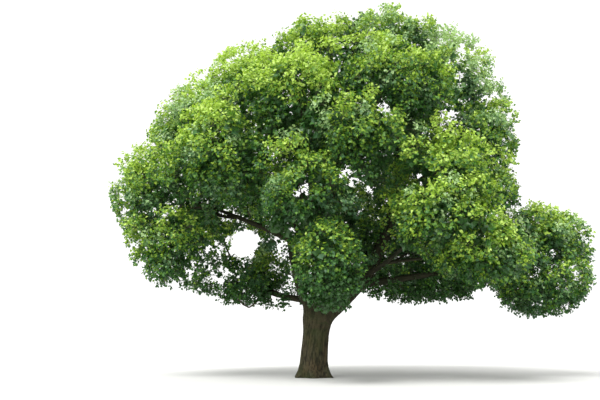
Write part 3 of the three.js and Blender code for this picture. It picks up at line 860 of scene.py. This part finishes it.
def grow_leaves(feet, tips, facing, lengths, rng):
    """The feet, directions, facing and lengths of the leaves on shoots. They stand all round their shoot,
    hang a little and turn their faces out of the spray."""
    each = (len(feet), LEAVES["count"])
    way = unit(tips - feet)
    back = np.arange(LEAVES["count"]) * LEAVES["spacing"] * dealt(LEAVES["uneven"], rng.random(each))
    room = np.linalg.norm(tips - feet, axis=1)[:, None]
    back = np.minimum(back, LEAVES["furthest_back"] * room)
    aside = unit(np.cross(way, ODD_WAY))[:, None]
    other = np.cross(way[:, None], aside)
    angle = 2 * math.pi * rng.random((*each, 1))
    turn = dealt(LEAVES["turn"], rng.random((*each, 1)))
    out = way[:, None] * np.cos(turn) + (aside * np.cos(angle) + other * np.sin(angle)) * np.sin(turn)
    out = unit(out - UP * dealt(LEAVES["droop"], rng.random((*each, 1))))
    flutter = LEAVES["flutter"] * (rng.random((*each, 3)) - 0.5)
    face = unit(facing[:, None] + LEAVES["facing_up"] * UP + flutter)
    length = blend(*lengths, rng.random(each))
    base = tips[:, None] - way[:, None] * back[..., None] + out * LEAVES["petiole"]
    return base, out, face, length


def add_leaves(pile, outline, base, out, face, length):
    """Adds leaves to a pile, for their feet, directions, facing and lengths."""
    across = unit(np.cross(out, face))
    normal = np.cross(across, out)
    axes = np.stack([across, out, normal], axis=1) * length[:, None, None]
    corners, faces = outline
    firsts = (np.arange(len(base)) * len(corners))[:, None, None]
    pile.add((base[:, None] + corners @ axes).reshape(-1, 3), (firsts + faces).reshape(-1, 3))


def limb_sprays(limb, random):
    """Sprays on short twigs all round a limb. Near the fork their shoots may end further out."""
    first, last = FOLIAGE["leafy_limb"]
    near, further = FOLIAGE["sprouts"]
    count = round(FOLIAGE["limb_sprays"] * (last - first) * limb.curve.length)
    sprays = []
    for i in range(count):
        share = blend(first, last, (i + next(random)) / count)
        angle = i * GOLDEN_ANGLE
        across, _ = turned_to(limb.curve.tangent(share), angle)
        facing = unit(across + FOLIAGE["facing_up"] * UP)
        radius = blend(*SPRAYS["limb"]["radius"], next(random))
        foot = limb.curve.point(share)
        middle = foot + (float(limb.radius_at(share)) + FOLIAGE["limb_twig"] * next(random)) * facing
        furthest = further if np.linalg.norm(foot - FORK) < near else FOLIAGE["furthest"]
        sprays.append({
            "middle": middle, "facing": facing, "outward": facing, "radius": radius, "spin": angle,
            "kind": "limb", "foot": foot, "furthest": furthest,
        })
    return sprays


def light_on(spray, mass):
    """How bright a spray looks, about 0 in deep shade and 1 in full light."""
    outward = spray["outward"]
    high = (spray["middle"][2] - LIGHT["lowest"]) / LIGHT["height"]
    light = LIGHT["plain"] + LIGHT["outward_up"] * outward[2]
    light = light + LIGHT["towards"] * float(outward @ TOWARDS_LIGHT) + LIGHT["high"] * high
    return light + LIGHT["mass_light"] * MASS_PAINTED_LIGHT.get(MASSES[mass][0], 0)


def grow_mass(mass, bough, twigs, leaves, rng):
    """Adds the stem, twigs and leaves of one mass to the piles."""
    random = seeded_random(FOLIAGE["seed"] + mass)
    stem = make_stem(mass, bough)
    add_tube(twigs, stem, FOLIAGE["stem_faces"])
    growth = Growth(stem)
    places = spray_places(mass, "inner", random) + spray_places(mass, "outer", random)
    places.sort(key=lambda place: place["reach"])
    for spray in places:
        if rng.random() < chance_bare(spray["middle"]):
            continue
        add_tube(twigs, grow_twig(growth, spray["middle"]), FOLIAGE["twig_faces"])
        grow_spray(spray, mass, twigs, leaves, rng)


def grow_limb_sprays(limb, twigs, leaves, rng):
    """Adds the twigs and leaves that grow along one limb to the piles."""
    for spray in limb_sprays(limb, seeded_random(FOLIAGE["seed"])):
        if rng.random() < chance_bare(spray["middle"]):
            continue
        twig = make_twig(spray["foot"], spray["middle"], 2 * FOLIAGE["twig_tip"])
        add_tube(twigs, twig, FOLIAGE["twig_faces"])
        grow_spray(spray, int(depths(spray["middle"]).argmin()), twigs, leaves, rng)


def grow_spray(spray, mass, twigs, leaves, rng):
    """Adds the shoots and leaves of one spray to the piles."""
    feet, tips, facing = grow_shoots(spray, rng)
    furthest = spray.get("furthest", FOLIAGE["furthest"])
    kept = (depth_in_crown(tips) < furthest) & (rng.random(len(tips)) >= chance_bare(tips))
    feet, tips, facing = feet[kept], tips[kept], facing[kept]
    if not len(tips):
        return
    add_shoots(twigs, feet, tips)
    plan = SPRAYS[spray["kind"]]
    base, out, face, length = grow_leaves(feet, tips, facing, plan["leaf"], rng)
    light = light_on(spray, mass) + LIGHT["shoot_up"] * facing[:, 2:]
    light = light + LIGHT["scatter"] * (rng.random(base.shape[:2]) - 0.5)
    tone = np.clip((light - plan["shade"]) * len(TONES), 0, len(TONES) - 1).astype(int)
    if rng.random() < COOL_MASSES.get(MASSES[mass][0], COOL_SHARE):
        tone = len(TONES) + np.clip(tone - 1, 0, len(COOL_TONES) - 1)
    outline = (LEAF_POINTS, LEAF_FACES) if plan["whole"] else (PLAIN_LEAF_POINTS, PLAIN_LEAF_FACES)
    for number in np.unique(tone):
        own = tone == number
        add_leaves(leaves[number], outline, base[own], out[own], face[own], length[own])


def add_shoots(pile, feet, tips):
    """Slim three-sided cones from feet to tips."""
    way = unit(tips - feet)
    spokes = spokes_round(way, unit(np.cross(way, ODD_WAY_OF_SHOOTS)), 3)
    rims = feet[:, None] + SHOOTS["radius"] * spokes
    points = np.concatenate([rims, tips[:, None]], axis=1)
    faces = np.array([(0, 1, 3), (1, 2, 3), (2, 0, 3)])
    firsts = (np.arange(len(feet)) * points.shape[1])[:, None, None]
    pile.add(points.reshape(-1, 3), (firsts + faces).reshape(-1, 3))


# Materials.

def new_material(name):
    material = bpy.data.materials.new(name)
    material.use_nodes = True
    nodes, links = material.node_tree.nodes, material.node_tree.links
    return material, nodes, links, nodes["Principled BSDF"]


def set_inputs(node, values):
    for name, value in values.items():
        node.inputs[name].default_value = value


def bark_material():
    """Grey-brown ridged bark with darker furrows that also hold painted shade, fine grain along the limb, a
    green film in places, and painted shade on the limbs up in the crown.
    """
    material, nodes, links, surface = new_material("linden_bark")
    set_inputs(surface, {"Roughness": 0.92, "Specular IOR Level": 0.25})
    grain = nodes.new("ShaderNodeAttribute")
    grain.attribute_name = "grain"
    furrow = nodes.new("ShaderNodeAttribute")
    furrow.attribute_name = "furrow"
    stretch = nodes.new("ShaderNodeMapping")
    set_inputs(stretch, {"Scale": (1, 1, 0.22)})
    links.new(grain.outputs["Vector"], stretch.inputs["Vector"])
    along = stretch.outputs["Vector"]
    fine = noise_node(nodes, links, along, scale=24, detail=8, roughness=0.65)
    broad = noise_node(nodes, links, along, scale=3.5, detail=4, roughness=0.6)
    patches = noise_node(nodes, links, grain.outputs["Vector"], scale=1.1, detail=3, roughness=0.5)
    place = nodes.new("ShaderNodeNewGeometry")
    height = nodes.new("ShaderNodeSeparateXYZ")
    links.new(place.outputs["Position"], height.inputs["Vector"])

    colour = ramp_node(nodes, links, fine, [(0.34, BARK_COLOURS["between"]), (0.66, BARK_COLOURS["ridge"])])
    for value, other, between, most in (
        (broad, "warm", (0.42, 0.62), 0.5),
        # the furrows: their own darker bark, with painted shade on top
        (furrow.outputs["Fac"], "furrow", (0.1, 0.9), 0.92),
        (patches, "film", (0.4, 0.66), 0.6),
        # painted shade: the bark darkens from 2.4 m to 4.2 m up, where the crown shades the limbs
        (height.outputs["Z"], "painted_crown_shade", (2.4, 4.2), 0.7),
    ):
        colour = mix_node(nodes, links, value, colour, BARK_COLOURS[other], between, most)
    links.new(colour, surface.inputs["Base Color"])

    bump = nodes.new("ShaderNodeBump")
    set_inputs(bump, {"Strength": 0.9, "Distance": 0.02})
    links.new(fine, bump.inputs["Height"])
    links.new(bump.outputs["Normal"], surface.inputs["Normal"])
    return material


def noise_node(nodes, links, vector, scale, detail, roughness):
    node = nodes.new("ShaderNodeTexNoise")
    set_inputs(node, {"Scale": scale, "Detail": detail, "Roughness": roughness})
    links.new(vector, node.inputs["Vector"])
    return node.outputs["Fac"]


def ramp_node(nodes, links, value, stops):
    """A ramp of colours from the first stop to the last."""
    node = nodes.new("ShaderNodeValToRGB")
    for element, (place, colour) in zip(node.color_ramp.elements, stops):
        element.position = place
        element.color = (*colour, 1)
    links.new(value, node.inputs["Fac"])
    return node.outputs["Color"]


def mix_node(nodes, links, value, colour, other, between, most):
    """Mixes another colour in as a value rises between two limits, up to a share."""
    span = nodes.new("ShaderNodeMapRange")
    set_inputs(span, {"From Min": between[0], "From Max": between[1], "To Max": most})
    links.new(value, span.inputs["Value"])
    node = nodes.new("ShaderNodeMix")
    node.data_type = "RGBA"
    links.new(span.outputs["Result"], node.inputs["Factor"])
    links.new(colour, node.inputs["A"])
    node.inputs["B"].default_value = (*other, 1)
    return node.outputs["Result"]


def leaf_material(name, colour):
    """A soft, slightly glossy leaf that lets a little light through."""
    material, nodes, links, surface = new_material("leaf_" + name)
    set_inputs(surface, {"Base Color": (*colour, 1), "Roughness": 0.42, "Specular IOR Level": 0.5})
    through = nodes.new("ShaderNodeBsdfTranslucent")
    red, green, blue = colour
    set_inputs(through, {"Color": (1.1 * red, 1.1 * green, 0.6 * blue, 1)})
    mix = nodes.new("ShaderNodeMixShader")
    set_inputs(mix, {"Fac": 0.3})
    links.new(surface.outputs["BSDF"], mix.inputs[1])
    links.new(through.outputs["BSDF"], mix.inputs[2])
    links.new(mix.outputs["Shader"], nodes["Material Output"].inputs["Surface"])
    return material


def twig_material():
    material, _, _, surface = new_material("twig_bark")
    set_inputs(surface, {"Base Color": (0.060, 0.052, 0.030, 1), "Roughness": 0.85})
    return material


def floor_material():
    material, _, _, surface = new_material("floor")
    set_inputs(surface, {"Base Color": (0.72, 0.72, 0.70, 1), "Roughness": 0.95})
    return material


# The tree.

def dress(piece, material, nodes):
    piece.data.materials.append(material)
    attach(piece, "root")
    if nodes:
        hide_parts(*nodes)


def make_wood(limbs):
    bark = bark_material()
    stout = [limb for limb in limbs.values() if limb.foot > LIMB["stout_radius"]]
    dress(make_stout_limbs(stout), bark, [limb.name for limb in stout])
    for i, limb in enumerate(limbs.values()):
        if limb not in stout:
            dress(make_slim_bough(limb, BARK["seeds"][1] * i), bark, [limb.name])


def make_foliage(limbs):
    rng = np.random.default_rng(FOLIAGE["seed"])
    twigs = Pile()
    leaves = [Pile() for _ in TONES + COOL_TONES]
    for mass, bough in enumerate(BOUGHS):
        grow_mass(mass, limbs[bough], twigs, leaves, rng)
    for limb in limbs.values():
        if limb.name != "trunk":
            grow_limb_sprays(limb, twigs, leaves, rng)
    masses = ["foliage_" + mass[0] for mass in MASSES]
    dress(twigs.piece("twigs"), twig_material(), [])
    for (tone, colour), pile in zip(TONES + COOL_TONES, leaves):
        dress(pile.piece("leaves_" + tone), leaf_material(tone, colour), masses)


def make_camera():
    camera = bpy.data.objects.new("camera", bpy.data.cameras.new("camera"))
    camera.data.sensor_width = PHOTO["sensor"]
    camera.data.lens = camera.data.sensor_width * PHOTO["focal"] / PHOTO["width"]
    camera.data.clip_end = PHOTO["furthest"]
    camera.location = (PHOTO["aside"], -PHOTO["distance"], PHOTO["eye"])
    camera.rotation_euler = (math.pi / 2 + PITCH, 0, 0)
    bpy.context.collection.objects.link(camera)
    bpy.context.scene.camera = camera


STUDIO = {
    "floor": 600.0,  # half the floor's width
    "surround": 1.2,  # brightness of the surround
    "light": 2.9,  # strength of the soft light
    "softness": 35,  # how wide the light looks, in degrees
}


def make_studio():
    """A wide pale floor, a white surround and one large soft light from the upper left of the viewer."""
    size = STUDIO["floor"]
    corners = np.array([(-size, -size, 0), (size, -size, 0), (size, size, 0), (-size, size, 0)])
    floor = mesh_object("floor", corners, np.array([(0, 1, 2, 3)]))
    floor.data.materials.append(floor_material())

    world = bpy.data.worlds.new("surround")
    world.use_nodes = True
    background = world.node_tree.nodes["Background"]
    set_inputs(background, {"Color": (1, 1, 1, 1), "Strength": STUDIO["surround"]})
    bpy.context.scene.world = world

    sun = bpy.data.objects.new("soft_light", bpy.data.lights.new("soft_light", "SUN"))
    sun.data.energy = STUDIO["light"]
    sun.data.angle = math.radians(STUDIO["softness"])
    sun.rotation_euler = Vector(-TOWARDS_LIGHT).to_track_quat("-Z", "Y").to_euler()
    bpy.context.collection.objects.link(sun)
    bpy.context.scene.view_settings.view_transform = "Standard"


make_camera()
make_studio()
tree_limbs = make_limbs()
make_wood(tree_limbs)
make_foliage(tree_limbs)
